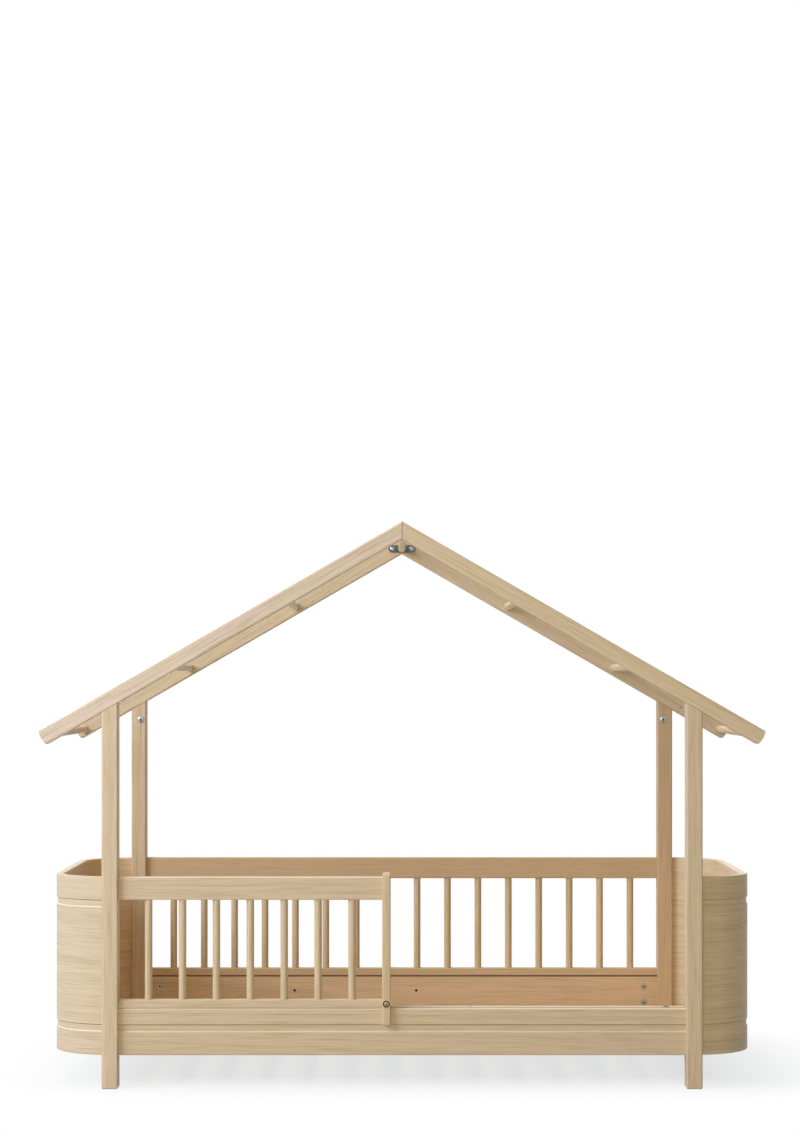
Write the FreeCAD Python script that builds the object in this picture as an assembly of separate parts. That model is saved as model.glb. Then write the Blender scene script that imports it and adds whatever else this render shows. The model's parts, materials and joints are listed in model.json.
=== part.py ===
"""House frame bed for a child: four posts carry a pitched roof frame, two moulded end shells close the ends,
low boards and a spindle barrier close the rear, and a half-length guard lifts off the front.

Millimetres.  X runs along the bed, Y from the open front (-Y) to the rear, Z up; the origin is on the floor
under the middle of the bed.  "Depth" below is measured inwards from the posts' outer faces, so each front
piece and its rear twin share one depth.
"""

import FreeCAD, Part
import math
import os

from FreeCAD import Vector

# ------------------------------------------------------------------ whole bed
bed_width = 800.0             # front to rear, over the posts
end_to_end = 1680.0           # along the bed, over the two end shells
post_spacing = 1391.0         # along the bed, between the posts' centre lines
ridge_height = 1350.0
roof_pitch = 30.0             # degrees

# ------------------------------------------------------------------ posts and edges
post_width = 38.0             # along the bed
post_depth = 52.0             # front to rear
edge_round = 3.0              # softened long edges of posts, rafters and rails
foot_chamfer = 2.4
foot_chamfer_share = 0.8      # most of edge_round that the chamfer may cut into
corner_share = 0.49           # most of a side that one rounded corner may take up

# ------------------------------------------------------------------ boards, rails and barriers
board_bottom = 79.0           # underside of boards and shells above the floor
board_height = 111.5
board_thickness = 24.0        # also the thickness of the barrier and guard rails
inner_rail_thickness = 36.0
inner_rail_height = 60.0
barrier_top = 504.0           # top of the shells, the rear barrier and the guard's rails
top_rail_height = 55.0
bottom_rail_height = 21.0
spindle_diameter = 18.0
spindle_socket = 12.0         # how far a spindle goes into each rail
rear_spindle_count = 16
guard_spindle_count = 7

# ------------------------------------------------------------------ grooved bands round the outside
groove_width = 17.5
groove_depth = 2.5
groove_slope = 2.0            # height of each slanted groove side
groove_rise = 56.0            # from the boards' underside to the lower groove

# ------------------------------------------------------------------ moulded end shells
shell_thickness = 18.0
shell_corner = 150.0          # plan radius of the outer face
shell_rim_round = 2.5

# ------------------------------------------------------------------ guard
guard_length = 649.0          # from the front left post to the far side of the stile
guard_gap = 0.5               # clearance between the guard and the bed
guard_seat_gap = 0.3          # under the guard where it rests on the front rail
stile_width = 20.0
stile_rise = 6.0              # above the guard's top rail
cheek_reach = 39.5            # down from the top of the doubled rail
rear_cheek = 17.0
stile_round = 5.0
tenon_thickness = 10.0
tenon_length = 12.0
tenon_shoulder = 4.0          # above and below a tenon
clamp_rise = 11.5             # bolt axis above the top of the doubled rail
kerf_width = 3.0              # saw cut that lets the cheeks close on the rails
kerf_height = 45.0

# ------------------------------------------------------------------ roof
rafter_height = 36.0          # square to the slope
rafter_length = 998.0         # along the top edge, ridge to eave
eave_bow = 55.0               # radius of the bowed eave end
eave_round = 4.0
rod_diameter = 19.0
rod_spacing = 280.0           # along the bed
rods_per_slope = 3
rod_socket = 20.0
ridge_rod_rise = 12.0         # ridge rod above the lowest point of the ridge joint

# ------------------------------------------------------------------ roof tongues and bolts
tongue_width = 20.0
tongue_thickness = 14.0
tongue_in_post = 60.0
tongue_in_rafter = 22.0
bolt_inset = 5.0              # bolt line, from the post's centre line towards the middle of the bed
bolt_drop = 40.0              # bolt axis below the rafter

# ------------------------------------------------------------------ hardware
ridge_plate_length = 71.0
ridge_plate_width = 19.5
ridge_plate_thickness = 3.0
ridge_screw_offset = 25.5     # each side of the ridge rod
thread_diameter = 6.0
insert_diameter = 10.0
insert_length = 13.0
insert_flange = 15.0
insert_flange_thickness = 1.5
insert_hole_depth = 18.0
roof_bolt_head = 16.5
roof_bolt_head_height = 4.0
clamp_head = 13.0
clamp_head_height = 5.0
clamp_recess = 17.0           # round recess that the clamp bolt's head and nut sit in
clamp_recess_depth = 6.0
clamp_sleeve = 9.0
clamp_sleeve_length = 11.0
hex_key = 4.0                 # across the flats of each hexagon socket
hex_depth = 2.5
cam_diameter = 15.0
cam_depth = 15.0
cam_setback = 35.5            # cam centre from the post
cam_bolt_depth = 9.0          # bolt axis behind the board's inner face
cam_bolt_shank = 5.0
cam_bolt_head = 7.0
cam_bolt_head_length = 3.5
cam_bolt_in_post = 12.0
cam_slot_length = 9.0
cam_slot_width = 1.6
cam_slot_depth = 2.0
dowel_diameter = 8.0
dowel_short_end = 14.0        # in a post, or in the thinner of two pieces
dowel_long_end = 18.0
dowel_chamfer = 1.0
screw_head = 11.0
screw_head_height = 2.6
screw_shank = 4.5
screw_length = 20.0
screw_point = 5.0             # length of the tapered point
screw_tip = 1.1
screw_cover = 0.5             # how far a sunk head lies below the surface
cross_slot_length = 6.0
cross_slot_width = 1.2
cross_slot_depth = 1.4
head_rim_share = 0.4          # of a domed head's height that its straight rim takes up
fit_gap = 0.1                 # round a glued, pressed or screwed-in piece
free_gap = 0.2                # round a bolt that turns in its hole
head_gap = 0.5                # round a sunk screw head

# ------------------------------------------------------------------ where the fasteners sit
rear_cam_rises = (41.0, 83.0)       # above the boards' underside
front_cam_rises = (24.0, 43.0)
rear_dowel_rises = (18.0, 100.0)
front_dowel_rises = (66.0, 96.0)
shell_dowel_count = 4
shell_dowel_margin = 35.0           # first and last dowel from the shell's edges
rail_dowel_spacing = 250.0          # along the inner rail
rail_dowels_per_side = 2            # each side of the one in the middle
rail_insert_inner = 161.6           # inserts in the top of the inner rail, from the middle of the bed
rail_insert_outer = 633.0
insert_recess = 8.0                 # how deep the outer inserts are sunk
board_holes = (-284.0, 38.0)        # two open holes in the rear board's inner face
board_hole_diameter = 7.0
board_hole_depth = 15.0
board_hole_rise = 73.0

# ------------------------------------------------------------------ mattress base
ledger_height = 15.0
ledger_width = 36.0
slat_thickness = 12.0
slat_width = 70.0
slat_count = 12
slat_end_gap = 2.0
end_board_lap = 60.0          # length of an end board that lies between the posts
end_board_gap = 3.0
cleat_width = 22.0
cleat_length = 400.0
cleat_dowel_offset = 140.0
cleat_screw_offset = 60.0
base_round = 1.5

# ------------------------------------------------------------------ worked out from the above
pitch = math.radians(roof_pitch)
half_spacing = post_spacing / 2
inner_side = half_spacing - post_width / 2
outer_side = half_spacing + post_width / 2
board_top = board_bottom + board_height
board_recess = (post_depth - board_thickness) / 2
shell_recess = (post_depth - shell_thickness) / 2
rail_centre = post_depth / 2
board_inner_face = board_recess + board_thickness
doubled_rail_depth = board_inner_face + inner_rail_thickness
top_rail_bottom = barrier_top - top_rail_height
bottom_rail_top = board_top + bottom_rail_height
stile_side = -inner_side + guard_length
stile_centre = stile_side - stile_width / 2
stile_depth = doubled_rail_depth + guard_gap + rear_cheek
ridge_underside = ridge_height - rafter_height / math.cos(pitch)
ridge_rod_height = ridge_underside + ridge_rod_rise
insert_hole = insert_diameter + 2 * fit_gap
screw_pocket_depth = screw_head_height + screw_cover
along_x = Vector(1, 0, 0)
along_y = Vector(0, 1, 0)
up = Vector(0, 0, 1)
front, rear = -1, 1
left, right = -1, 1
clear_height = 2 * ridge_height     # taller than anything in the model


# ------------------------------------------------------------------ shared shapes
def y_at(side, depth):
    """Y of a plane that lies depth inside the posts' outer faces, at the front or the rear."""
    return side * (bed_width / 2 - depth)


def underside_height(x):
    """Height of the rafters' underside."""
    return ridge_underside - abs(x) * math.tan(pitch)


def block(x_pair, y_pair, z_pair):
    """A square-cornered block between two values on each axis, given in either order."""
    low = Vector(min(x_pair), min(y_pair), min(z_pair))
    high = Vector(max(x_pair), max(y_pair), max(z_pair))
    return Part.makeBox(high.x - low.x, high.y - low.y, high.z - low.z, low)


def rounded_face(points, radii):
    """A flat face with straight sides, its corners rounded as far as the sides' lengths allow."""
    joins = []
    for index, point in enumerate(points):
        to_last = points[index - 1] - point
        to_next = points[(index + 1) % len(points)] - point
        half_angle = to_last.getAngle(to_next) / 2
        room = corner_share * min(to_last.Length, to_next.Length)
        reach = min(radii[index] / math.tan(half_angle), room)
        radius = reach * math.tan(half_angle)
        to_last.normalize()
        to_next.normalize()
        inward = (to_last + to_next).normalize()
        middle = point + inward * (radius / math.sin(half_angle) - radius)
        joins.append((point + to_last * reach, middle, point + to_next * reach, reach))
    edges = []
    for index, (start, middle, end, reach) in enumerate(joins):
        if reach > 0:
            edges.append(Part.Arc(start, middle, end).toShape())
        edges.append(Part.LineSegment(end, joins[(index + 1) % len(joins)][0]).toShape())
    return Part.Face(Part.Wire(edges))


def bar(x_pair, y_pair, z_pair, axis, radius):
    """A block whose four edges along one axis are rounded."""
    low = Vector(min(x_pair), min(y_pair), min(z_pair))
    size = Vector(max(x_pair), max(y_pair), max(z_pair)) - low
    sides = [step for step in (Vector(size.x, 0, 0), Vector(0, size.y, 0), Vector(0, 0, size.z))
             if step.dot(axis) == 0]
    corners = [low, low + sides[0], low + sides[0] + sides[1], low + sides[1]]
    return rounded_face(corners, [radius] * 4).extrude(axis * size.dot(axis))


def cylinder(point, direction, length, diameter):
    return Part.makeCylinder(diameter / 2, length, point, direction)


def drilled(piece, holes):
    """The piece less each hole that reaches it."""
    near = [hole for hole in holes if hole.BoundBox.intersect(piece.BoundBox)]
    return piece.cut(near) if near else piece


def hexagon(point, direction, length):
    """A hexagon socket's space, from its mouth inwards along the direction."""
    first = along_x if direction.dot(along_x) == 0 else along_y
    second = direction.cross(first)
    reach = hex_key / 2 / math.cos(math.pi / 6)
    corners = []
    for step in range(6):
        turn = step * math.pi / 3
        corners.append(point + first * (reach * math.cos(turn)) + second * (reach * math.sin(turn)))
    return rounded_face(corners, [0] * 6).extrude(direction * length)


def cross_slot(point, direction, size, width, depth):
    """Two crossing slots cut into a round head, from its face inwards along the direction."""
    first = along_x if direction.dot(along_x) == 0 else along_y
    second = direction.cross(first)
    slots = []
    for lengthways, across in ((first, second), (second, first)):
        corner = point - lengthways * (size / 2) - across * (width / 2)
        corners = [corner, corner + lengthways * size, corner + lengthways * size + across * width,
                   corner + across * width]
        slots.append(rounded_face(corners, [0] * 4).extrude(direction * depth))
    return slots[0].fuse(slots[1])


def domed_head(point, direction, diameter, height):
    """A round head with a domed top, standing on the point and rising along the direction."""
    sideways = along_x if direction.dot(along_x) == 0 else along_y
    rim = head_rim_share * height
    crown = height - rim
    dome_radius = (diameter ** 2 / 4 + crown ** 2) / (2 * crown)
    dome_centre = point + direction * (height - dome_radius)
    half_way = math.asin(diameter / 2 / dome_radius) / 2
    rim_foot = point + sideways * (diameter / 2)
    rim_top = rim_foot + direction * rim
    shoulder = dome_centre + (sideways * math.sin(half_way) + direction * math.cos(half_way)) * dome_radius
    top = point + direction * height
    outline = [
        Part.LineSegment(point, rim_foot).toShape(),
        Part.LineSegment(rim_foot, rim_top).toShape(),
        Part.Arc(rim_top, shoulder, top).toShape(),
        Part.LineSegment(top, point).toShape(),
    ]
    return Part.Face(Part.Wire(outline)).revolve(point, direction, 360)


# ------------------------------------------------------------------ dowels
def wall_centre_y(x):
    """Y of the middle of the rear shell wall, on its straight arm or round its corner."""
    centre_x = end_to_end / 2 - shell_corner
    centre_y = bed_width / 2 - shell_recess - shell_corner
    middle_radius = shell_corner - shell_thickness / 2
    beyond = max(0.0, x - centre_x)
    return centre_y + math.sqrt(middle_radius ** 2 - beyond ** 2)


def even_heights(low, high, margin, count):
    step = (high - low - 2 * margin) / (count - 1)
    return [low + margin + step * index for index in range(count)]


def dowel_places():
    """Each dowel: the point where its two pieces meet, and the direction of its longer end."""
    places = []
    shell_heights = even_heights(board_bottom, barrier_top, shell_dowel_margin, shell_dowel_count)
    shell_y = wall_centre_y(outer_side + dowel_long_end / 2)
    for x_side in (left, right):
        outwards = along_x * x_side
        for y_side in (front, rear):
            for height in shell_heights:
                places.append((Vector(x_side * outer_side, y_side * shell_y, height), outwards))
            rises = front_dowel_rises if y_side == front else rear_dowel_rises
            for rise in rises:
                point = Vector(x_side * inner_side, y_at(y_side, rail_centre), board_bottom + rise)
                places.append((point, -outwards))
        for height in barrier_rail_heights():
            places.append((Vector(x_side * inner_side, y_at(rear, rail_centre), height), -outwards))
        for y_offset in (-cleat_dowel_offset, cleat_dowel_offset):
            point = Vector(x_side * (end_to_end / 2 - shell_thickness), y_offset, ledger_centre())
            places.append((point, -outwards))
    for step in range(-rail_dowels_per_side, rail_dowels_per_side + 1):
        rail_point = Vector(step * rail_dowel_spacing, y_at(front, board_inner_face),
                            board_top - inner_rail_height / 2)
        places.append((rail_point, along_y))
        for y_side in (front, rear):
            ledger_point = Vector(2 * step * slat_pitch(), y_at(y_side, board_inner_face), ledger_centre())
            places.append((ledger_point, along_y * -y_side))
    for height in guard_pin_heights():
        places.append((Vector(-inner_side, y_at(front, rail_centre), height), along_x))
    return places


def barrier_rail_heights():
    """Heights of the rear barrier's end dowels: two in the top rail, one in the bottom rail."""
    quarter = top_rail_height / 4
    return (top_rail_bottom + quarter, barrier_top - quarter, board_top + bottom_rail_height / 2)


def guard_pin_heights():
    """The two pins on the front left post that the guard's rails hook over."""
    return (top_rail_bottom + top_rail_height / 2, board_top + bottom_rail_height / 2)


def ledger_centre():
    return board_bottom + ledger_height / 2


def dowels():
    solids = []
    for point, direction in dowel_places():
        start = point - direction * dowel_short_end
        dowel = cylinder(start, direction, dowel_short_end + dowel_long_end, dowel_diameter)
        solids.append(dowel.makeChamfer(dowel_chamfer, [edge for edge in dowel.Edges if edge.isClosed()]))
    return solids


def dowel_holes():
    holes = []
    for point, direction in dowel_places():
        start = point - direction * (dowel_short_end + fit_gap)
        length = dowel_short_end + dowel_long_end + 2 * fit_gap
        holes.append(cylinder(start, direction, length, dowel_diameter + 2 * fit_gap))
    return holes


# ------------------------------------------------------------------ cam fittings between boards and posts
def cam_places():
    """Each cam: the centre of its face, the direction into the board and the direction to its post."""
    places = []
    for x_side in (left, right):
        for y_side, rises in ((front, front_cam_rises), (rear, rear_cam_rises)):
            for rise in rises:
                face = Vector(x_side * (inner_side - cam_setback), y_at(y_side, board_inner_face),
                              board_bottom + rise)
                places.append((face, along_y * y_side, along_x * x_side))
    return places


def cam_locks():
    solids = []
    for face, inwards, to_post in cam_places():
        cam = cylinder(face, inwards, cam_depth, cam_diameter)
        axis = face + inwards * cam_bolt_depth
        channel = cylinder(axis, to_post, cam_diameter, cam_bolt_head + 2 * free_gap)
        slot = cross_slot(face, inwards, cam_slot_length, cam_slot_width, cam_slot_depth)
        solids.append(cam.cut([channel, slot]))
    return solids


def cam_bolts():
    """Steel bolts screwed into the posts; each one's head is caught by a cam."""
    solids = []
    for face, inwards, to_post in cam_places():
        centre = face + inwards * cam_bolt_depth
        reach = cam_setback + cam_bolt_in_post
        shank = cylinder(centre, to_post, reach, cam_bolt_shank)
        head = cylinder(centre, to_post, cam_bolt_head_length, cam_bolt_head)
        thread = cylinder(centre + to_post * cam_setback, to_post, cam_bolt_in_post, thread_diameter)
        solids.append(shank.fuse([head, thread]).removeSplitter())
    return solids


def cam_holes():
    holes = []
    for face, inwards, to_post in cam_places():
        holes.append(cylinder(face, inwards, cam_depth, cam_diameter + 2 * fit_gap))
        centre = face + inwards * cam_bolt_depth
        holes.append(cylinder(centre, to_post, cam_setback, cam_bolt_head + 2 * free_gap))
        post_face = centre + to_post * cam_setback
        holes.append(cylinder(post_face, to_post, cam_bolt_in_post + fit_gap, thread_diameter + 2 * fit_gap))
    return holes


# ------------------------------------------------------------------ threaded inserts
def roof_bolt_point(x_side, y_side, depth):
    x = x_side * (half_spacing - bolt_inset)
    return Vector(x, y_at(y_side, depth), underside_height(x) - bolt_drop)


def tongue_outer_depth():
    return (post_depth - tongue_thickness) / 2


def insert_places():
    """Each insert: the middle of its flange's face, and the direction into the wood."""
    places = []
    for x_side in (left, right):
        for offset, sunk in ((rail_insert_inner, 0.0), (rail_insert_outer, insert_recess)):
            y = y_at(front, board_inner_face + inner_rail_thickness / 2)
            places.append((Vector(x_side * offset, y, board_top - sunk), -up))
        for y_side in (front, rear):
            places.append((roof_bolt_point(x_side, y_side, tongue_outer_depth()), along_y * -y_side))
    return places


def threaded_inserts():
    solids = []
    for face, inwards in insert_places():
        body = cylinder(face, inwards, insert_length, insert_diameter)
        flange = cylinder(face, inwards, insert_flange_thickness, insert_flange)
        bore = cylinder(face, inwards, insert_length, thread_diameter)
        solids.append(body.fuse(flange).cut(bore).removeSplitter())
    return solids


def insert_holes():
    holes = []
    for face, inwards in insert_places():
        holes.append(cylinder(face, inwards, insert_hole_depth, insert_hole))
        mouth = face - inwards * insert_recess
        flange_seat = insert_recess + insert_flange_thickness
        holes.append(cylinder(mouth, inwards, flange_seat, insert_flange + 2 * fit_gap))
    return holes


# ------------------------------------------------------------------ wood screws
def slat_pitch():
    """Slat to slat, with the same gap between slats as beside the two end boards."""
    run = 2 * (inner_side - end_board_lap)
    return (run + slat_width) / (slat_count + 1)


def slat_centres():
    return [(index - (slat_count - 1) / 2) * slat_pitch() for index in range(slat_count)]


def end_board_half_width():
    return bed_width / 2 - post_depth - end_board_gap


def screw_places():
    """Each screw: the point under its head, and the direction that it points."""
    places = []
    for y_side in (front, rear):
        plate_face = y_at(y_side, post_depth + ridge_plate_thickness)
        for x in (-ridge_screw_offset, ridge_screw_offset):
            places.append((Vector(x, plate_face, ridge_rod_height), along_y * y_side))
        places.append((Vector(0, y_at(y_side, post_depth), ridge_rod_height), along_y * -y_side))
        head_height = board_bottom + ledger_height + slat_thickness - screw_pocket_depth
        ledger_line = y_at(y_side, board_inner_face + ledger_width / 2)
        for x in slat_centres():
            places.append((Vector(x, ledger_line, head_height), -up))
        for x_side in (left, right):
            lap_x = x_side * (inner_side - end_board_lap / 2)
            lap_y = y_side * (end_board_half_width() - screw_head)
            places.append((Vector(lap_x, lap_y, head_height), -up))
            cleat_x = x_side * (end_to_end / 2 - shell_thickness - cleat_width / 2)
            places.append((Vector(cleat_x, y_side * cleat_screw_offset, head_height), -up))
    return places


def wood_screws():
    solids = []
    for seat, inwards in screw_places():
        head = domed_head(seat, -inwards, screw_head, screw_head_height)
        shank = cylinder(seat, inwards, screw_length - screw_point, screw_shank)
        taper_start = seat + inwards * (screw_length - screw_point)
        point = Part.makeCone(screw_shank / 2, screw_tip / 2, screw_point, taper_start, inwards)
        recess = cross_slot(seat - inwards * screw_head_height, inwards, cross_slot_length,
                            cross_slot_width, cross_slot_depth)
        solids.append(head.fuse([shank, point]).cut(recess).removeSplitter())
    return solids


def screw_holes():
    """Pilot holes, each with a pocket for its head."""
    holes = []
    for seat, inwards in screw_places():
        holes.append(cylinder(seat, inwards, screw_length + fit_gap, screw_shank + 2 * fit_gap))
        holes.append(cylinder(seat, -inwards, screw_pocket_depth, screw_head + 2 * head_gap))
    return holes


# ------------------------------------------------------------------ posts
def post(x_side, y_side, holes):
    x_pair = (x_side * inner_side, x_side * outer_side)
    y_pair = (y_at(y_side, 0), y_at(y_side, post_depth))
    stick = bar(x_pair, y_pair, (0, underside_height(inner_side)), up, edge_round)
    foot_edges = [edge for edge in stick.Edges if edge.BoundBox.ZMax < fit_gap]
    stick = stick.makeChamfer(min(foot_chamfer, foot_chamfer_share * edge_round), foot_edges)
    corners = [Vector(x_side * x, y_pair[0], z) for x, z in (
        (0, ridge_underside), (end_to_end, underside_height(end_to_end)),
        (end_to_end, clear_height), (0, clear_height))]
    above_rafter = rounded_face(corners, [0] * 4).extrude(Vector(0, y_pair[1] - y_pair[0], 0))
    return drilled(stick.cut(above_rafter), holes)


# ------------------------------------------------------------------ roof tongues and bolts
def tongue_space(x_side, y_side, gap):
    """The tongue's own solid, or with a gap the mortise round it in the post and the rafter."""
    centre_x = x_side * (half_spacing - bolt_inset)
    middle = underside_height(centre_x)
    half_width = tongue_width / 2 + gap
    depths = (tongue_outer_depth() - gap, tongue_outer_depth() + tongue_thickness + gap)
    return block((centre_x - half_width, centre_x + half_width),
                 (y_at(y_side, depths[0]), y_at(y_side, depths[1])),
                 (middle - tongue_in_post - gap, middle + tongue_in_rafter + gap))


def each_post():
    return [(x_side, y_side) for y_side in (front, rear) for x_side in (left, right)]


def roof_tongues(holes):
    return [drilled(tongue_space(x_side, y_side, 0), holes) for x_side, y_side in each_post()]


def tongue_mortises():
    return [tongue_space(x_side, y_side, fit_gap) for x_side, y_side in each_post()]


def roof_bolts():
    solids = []
    length = post_depth - tongue_outer_depth()
    for x_side, y_side in each_post():
        seat = roof_bolt_point(x_side, y_side, post_depth)
        outwards = along_y * y_side
        head = domed_head(seat, -outwards, roof_bolt_head, roof_bolt_head_height)
        shank = cylinder(seat, outwards, length, thread_diameter - 2 * fit_gap)
        socket = hexagon(seat - outwards * roof_bolt_head_height, outwards, hex_depth)
        solids.append(head.fuse(shank).cut(socket).removeSplitter())
    return solids


def roof_bolt_holes():
    """From each post's inner face into the insert in the tongue."""
    holes = []
    for x_side, y_side in each_post():
        seat = roof_bolt_point(x_side, y_side, post_depth)
        length = post_depth - tongue_outer_depth()
        holes.append(cylinder(seat, along_y * y_side, length, thread_diameter + 2 * fit_gap))
    return holes


# ------------------------------------------------------------------ moulded end shells
def groove_points(low):
    """The grooved band's outline as (inset, height) pairs, from its lower edge up."""
    high = low + groove_width
    return [(0, low), (groove_depth, low + groove_slope), (groove_depth, high - groove_slope), (0, high)]


def lower_groove():
    return board_bottom + groove_rise


def upper_groove():
    return top_rail_bottom - groove_width


def shell_section(y):
    """The shell's wall cut by a plane across it, at the end wall."""
    outer = [(0, board_bottom)] + groove_points(lower_groove()) + groove_points(upper_groove())
    outline = outer + [(0, barrier_top), (shell_thickness, barrier_top), (shell_thickness, board_bottom)]
    points = [Vector(end_to_end / 2 - inset, y, height) for inset, height in outline]
    radii = [shell_rim_round] + [0] * (len(outer) - 1) + [shell_rim_round] * 3
    return rounded_face(points, radii)


def end_shell(x_side, holes):
    """One wall section swept round the bed's end: arm, corner, end wall, corner, arm."""
    centre_x = end_to_end / 2 - shell_corner
    centre_y = bed_width / 2 - shell_recess - shell_corner
    pieces = [shell_section(-centre_y).extrude(Vector(0, 2 * centre_y, 0))]
    for side in (front, rear):
        section = shell_section(side * centre_y)
        centre = Vector(centre_x, side * centre_y, 0)
        pieces.append(section.revolve(centre, up, side * 90))
        if centre_x > outer_side:
            section.rotate(centre, up, side * 90)
            pieces.append(section.extrude(Vector(outer_side - centre_x, 0, 0)))
    shell = pieces[0].fuse(pieces[1:]).removeSplitter()
    middle = block((-outer_side, outer_side), (-bed_width, bed_width), (0, clear_height))
    shell = shell.cut(middle)
    if x_side == left:
        shell = shell.mirror(Vector(0, 0, 0), along_x)
    return drilled(shell, holes)


# ------------------------------------------------------------------ low boards
def low_board(y_side, holes):
    """The low board between two posts, grooved on its outer face."""
    outer = [(0, board_bottom)] + groove_points(lower_groove())
    outline = outer + [(0, board_top), (board_thickness, board_top), (board_thickness, board_bottom)]
    points = [Vector(-inner_side, y_at(y_side, board_recess + inset), height) for inset, height in outline]
    radii = [edge_round] + [0] * (len(outer) - 1) + [edge_round] * 3
    board = rounded_face(points, radii).extrude(Vector(2 * inner_side, 0, 0))
    return drilled(board, holes)


def rear_board(holes):
    board = low_board(rear, holes)
    for x in board_holes:
        mouth = Vector(x, y_at(rear, board_inner_face), board_bottom + board_hole_rise)
        board = board.cut(cylinder(mouth, along_y, board_hole_depth, board_hole_diameter))
    return board


def front_inner_rail(holes):
    rail = bar((-inner_side, inner_side),
               (y_at(front, board_inner_face), y_at(front, doubled_rail_depth)),
               (board_top - inner_rail_height, board_top), along_x, edge_round)
    return drilled(rail, holes)


# ------------------------------------------------------------------ barriers
def barrier_rail(y_side, x_pair, z_pair):
    y_pair = (y_at(y_side, board_recess), y_at(y_side, board_inner_face))
    return bar(x_pair, y_pair, z_pair, along_x, edge_round)


def spindle_centres(start, end, count):
    """X of each spindle, with the same gap between spindles as at either end."""
    gap = (end - start - count * spindle_diameter) / (count + 1)
    return [start + gap + spindle_diameter / 2 + index * (gap + spindle_diameter) for index in range(count)]


def spindle(x, y_side, diameter_gap):
    """A spindle, or with a gap the sockets for it in the rails."""
    foot = Vector(x, y_at(y_side, rail_centre), bottom_rail_top - spindle_socket)
    length = top_rail_bottom - bottom_rail_top + 2 * spindle_socket
    return cylinder(foot, up, length, spindle_diameter + diameter_gap)


def rear_barrier(holes):
    """The rear top rail, bottom rail and spindles by node name."""
    centres = spindle_centres(-inner_side, inner_side, rear_spindle_count)
    sockets = [spindle(x, rear, 2 * fit_gap) for x in centres]
    span = (-inner_side, inner_side)
    pieces = {
        "rear_top_rail": drilled(barrier_rail(rear, span, (top_rail_bottom, barrier_top)), sockets + holes),
        "rear_bottom_rail": drilled(barrier_rail(rear, span, (board_top, bottom_rail_top)), sockets + holes),
    }
    for index, x in enumerate(centres):
        pieces[f"rear_spindle_{index + 1:02d}"] = spindle(x, rear, 0)
    return pieces


# ------------------------------------------------------------------ guard
def guard_rail(z_pair, pin_height):
    """A guard rail: a slot over the post's pin at one end, a tenon into the stile at the other."""
    low, high = min(z_pair), max(z_pair)
    stile_near = stile_side - stile_width
    rail = barrier_rail(front, (-inner_side + guard_gap, stile_near), z_pair)
    middle_y = y_at(front, rail_centre)
    tenon = block((stile_near, stile_near + tenon_length),
                  (middle_y - tenon_thickness / 2, middle_y + tenon_thickness / 2),
                  (low + tenon_shoulder, high - tenon_shoulder))
    slot_width = dowel_diameter + 2 * guard_gap
    slot_end = -inner_side + dowel_long_end + guard_gap
    slot = block((-inner_side, slot_end), (middle_y - slot_width / 2, middle_y + slot_width / 2),
                 (low - edge_round, pin_height))
    slot_top = cylinder(Vector(-inner_side, middle_y, pin_height), along_x, slot_end + inner_side, slot_width)
    return rail.fuse(tenon).cut([slot, slot_top])


def tenon_mortise(z_pair):
    low, high = min(z_pair), max(z_pair)
    stile_near = stile_side - stile_width
    middle_y = y_at(front, rail_centre)
    half = tenon_thickness / 2 + fit_gap
    return block((stile_near, stile_near + tenon_length + fit_gap), (middle_y - half, middle_y + half),
                 (low + tenon_shoulder - fit_gap, high - tenon_shoulder + fit_gap))


def guard_stile(mortises):
    """A deep stile that straddles the doubled rail as a fork, with a saw kerf above the fork."""
    top = barrier_top + stile_rise
    cheek_end = board_top - cheek_reach
    slot_top = board_top + guard_seat_gap
    front_cheek = board_recess - guard_gap
    slot_back = doubled_rail_depth + guard_gap
    x_pair = (stile_side - stile_width, stile_side)
    outline = [(0, top), (0, cheek_end), (front_cheek, cheek_end), (front_cheek, slot_top),
               (slot_back, slot_top), (slot_back, cheek_end), (stile_depth, cheek_end), (stile_depth, top)]
    radii = [stile_round] * 3 + [0, 0] + [stile_round] * 3
    points = [Vector(x_pair[0], y_at(front, depth), height) for depth, height in outline]
    fork = rounded_face(points, radii).extrude(Vector(stile_width, 0, 0))
    y_pair = (y_at(front, 0), y_at(front, stile_depth))
    seen_from_front = bar(x_pair, y_pair, (cheek_end, top), along_y, stile_round)
    seen_from_above = bar(x_pair, y_pair, (cheek_end, top), up, edge_round)
    fork = fork.common(seen_from_front).common(seen_from_above)
    kerf_middle = y_at(front, (front_cheek + slot_back) / 2)
    kerf = block(x_pair, (kerf_middle - kerf_width / 2, kerf_middle + kerf_width / 2),
                 (slot_top - guard_gap, slot_top + kerf_height))
    return fork.cut([kerf] + mortises + clamp_holes())


def clamp_axis(depth):
    return Vector(stile_centre, y_at(front, depth), board_top + clamp_rise)


def clamp_holes():
    """The clamp bolt's bore, the round recesses at both ends and the nut's sleeve hole."""
    nut_seat = stile_depth - clamp_recess_depth
    sleeve_start = nut_seat - clamp_sleeve_length - fit_gap
    return [
        cylinder(clamp_axis(0), along_y, stile_depth, thread_diameter + 2 * free_gap),
        cylinder(clamp_axis(0), along_y, clamp_recess_depth, clamp_recess),
        cylinder(clamp_axis(nut_seat), along_y, clamp_recess_depth, clamp_recess),
        cylinder(clamp_axis(sleeve_start), along_y, clamp_sleeve_length + fit_gap,
                 clamp_sleeve + 2 * fit_gap),
    ]


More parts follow.
